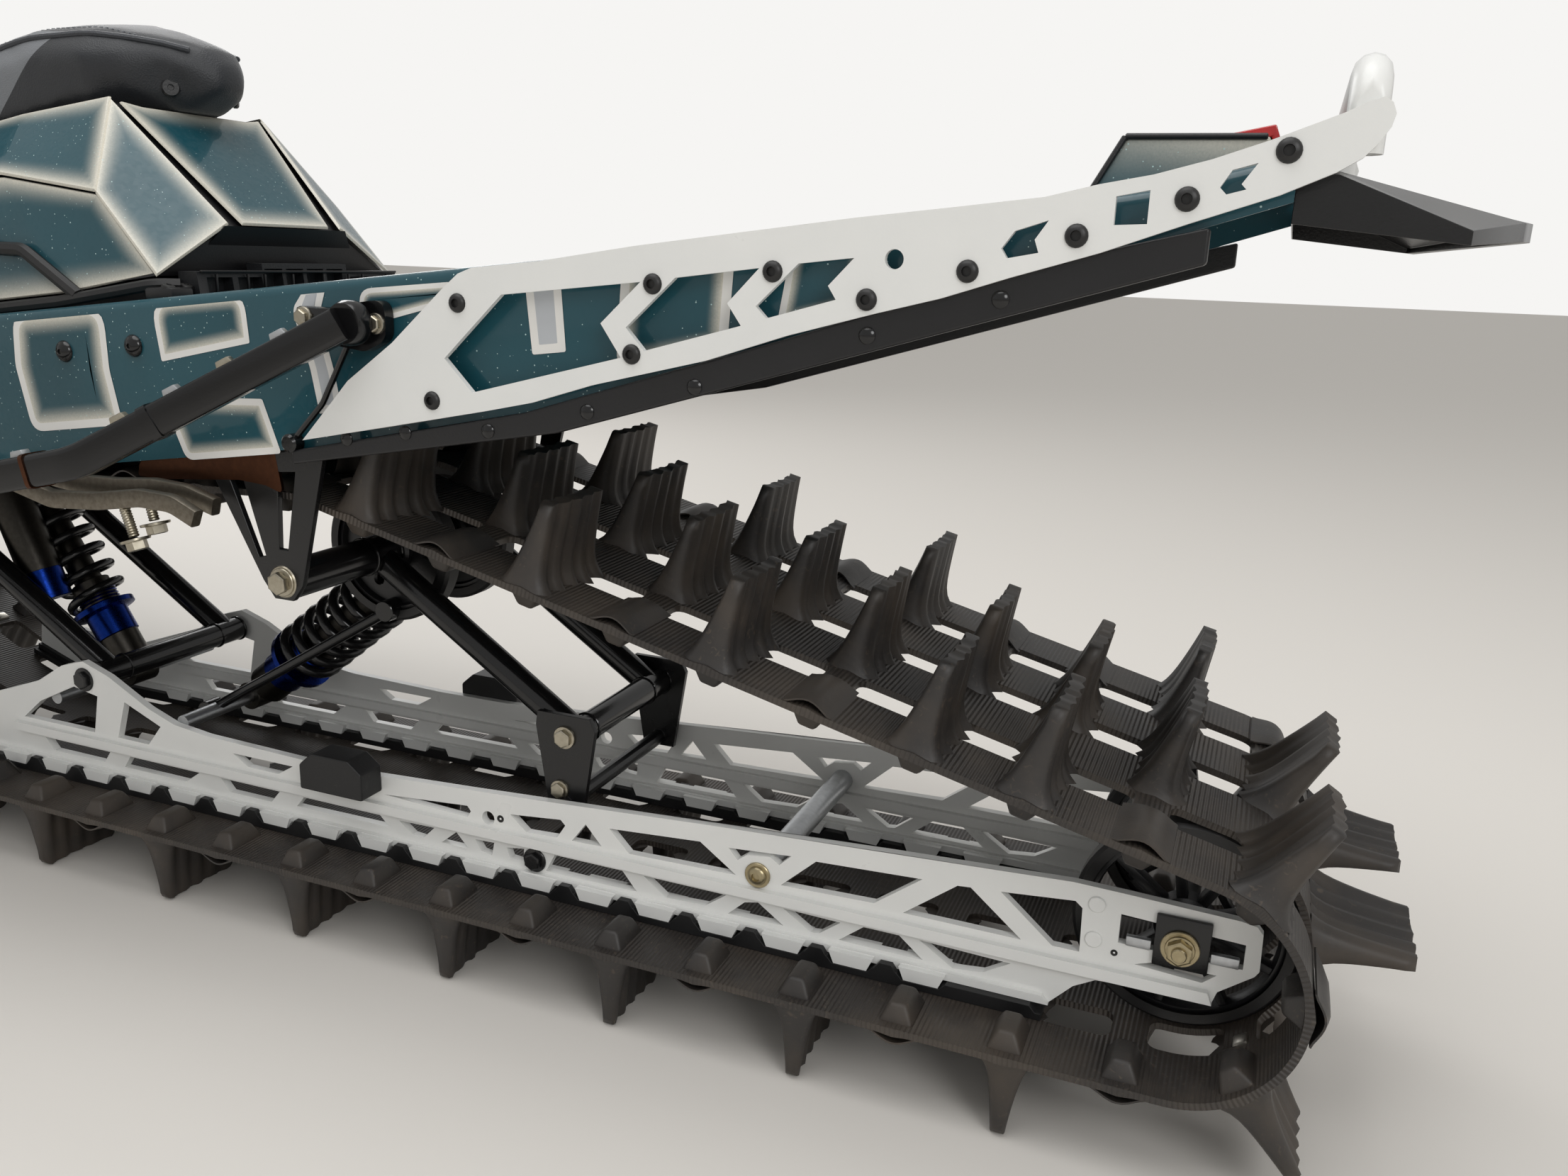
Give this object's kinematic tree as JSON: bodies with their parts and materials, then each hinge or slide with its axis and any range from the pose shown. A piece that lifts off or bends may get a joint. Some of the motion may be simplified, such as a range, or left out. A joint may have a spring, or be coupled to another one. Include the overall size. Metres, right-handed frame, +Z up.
{
  "type": "snowmobile",
  "caption": "Long-track mountain snowmobile with a paddled rubber track, slide-rail suspension, narrow seat, painted tunnel and bodywork, running boards and two steered skis.",
  "frame": {"origin": "centre of the bounding box on the ground, under the middle of the sled", "axes": "+X forwards to the ski tips, +Y to the rider's left, +Z up"},
  "size_m": [3.411, 1.079, 1.25],
  "materials": {
    "track_rubber": "dull moulded rubber",
    "white_paint": "glossy powder coat",
    "black_paint": "glossy powder coat",
    "teal_paint": "metallic flake under clear coat",
    "teal_plastic": "metallic flake under clear coat",
    "black_plastic": "moulded",
    "white_plastic": "moulded",
    "bare_aluminium": "satin",
    "zinc_steel": "zinc plated",
    "shock_metal": "dark anodised",
    "black_rubber": "moulded",
    "seat_vinyl": "smooth upholstery vinyl",
    "red_lens": "translucent red",
    "smoke_glass": "smoked clear plastic",
    "clear_glass": "clear plastic"
  },
  "bodies": {
    "sled": {"track": "track_rubber", "rail_left": "white_paint", "rail_right": "white_paint", "slides": "black_plastic", "rear_idlers": "black_plastic", "carrier_wheels": "black_plastic", "drive_shaft": "black_plastic", "front_arm": "black_paint", "rear_arm": "black_paint", "hangers": "black_paint", "track_shocks": "shock_metal", "cross_shafts": "bare_aluminium", "arm_brackets": "black_paint", "bump_stops": "black_rubber", "tunnel": "teal_paint", "tunnel_rails": "black_paint", "side_plate_left": "white_paint", "side_plate_right": "white_paint", "rear_bumper": "white_paint", "snow_flap": "black_plastic", "tail_light_housing": "teal_plastic", "tail_light_lens": "red_lens", "running_boards": "black_paint", "seat": "seat_vinyl", "seat_fairing": "teal_plastic", "seat_box": "black_plastic", "console": "black_plastic", "belly_pan": "black_plastic", "side_panel_left": "teal_plastic", "side_panel_right": "teal_plastic", "hood": "teal_plastic", "headlights": "clear_glass", "engine_block": "bare_aluminium", "windshield": "smoke_glass", "bulkhead": "black_paint", "front_bumper": "white_paint", "a_arms": "white_paint", "ski_dampers": "shock_metal"},
    "steering": {"handlebar": "black_paint", "grips": "black_rubber"},
    "left_ski": {"spindle_left": "black_paint", "ski_left": "white_plastic"},
    "right_ski": {"spindle_right": "black_paint", "ski_right": "white_plastic"},
    "left_tie_rod": {"tie_rod_left": "zinc_steel"},
    "right_tie_rod": {"tie_rod_right": "zinc_steel"}
  },
  "joints": [
    {"name": "steering", "type": "hinge", "parent": "sled", "child": "steering", "pos_m": [0.288, 0, 0.812], "axis": [-0.3714, 0, 0.9285], "range_deg": [-35, 35]},
    {"name": "left_ski_steer", "type": "hinge", "parent": "sled", "child": "left_ski", "pos_m": [1.116, 0.457, 0.3], "axis": [0, 0, 1], "range_deg": [-28.1, 28.1]},
    {"name": "left_tie_rod_slide", "type": "slide", "parent": "sled", "child": "left_tie_rod", "axis": [0, 1, 0], "range_m": [-0.043, 0.043]},
    {"name": "right_ski_steer", "type": "hinge", "parent": "sled", "child": "right_ski", "pos_m": [1.116, -0.457, 0.3], "axis": [0, 0, 1], "range_deg": [-28.1, 28.1]},
    {"name": "right_tie_rod_slide", "type": "slide", "parent": "sled", "child": "right_tie_rod", "axis": [0, 1, 0], "range_m": [-0.043, 0.043]}
  ],
  "couplings": [
    {"joint": "left_ski_steer", "follows": "steering", "ratio": 0.8},
    {"joint": "left_tie_rod_slide", "follows": "steering", "m_per_rad": -0.068},
    {"joint": "right_ski_steer", "follows": "steering", "ratio": 0.8},
    {"joint": "right_tie_rod_slide", "follows": "steering", "m_per_rad": -0.068}
  ]
}
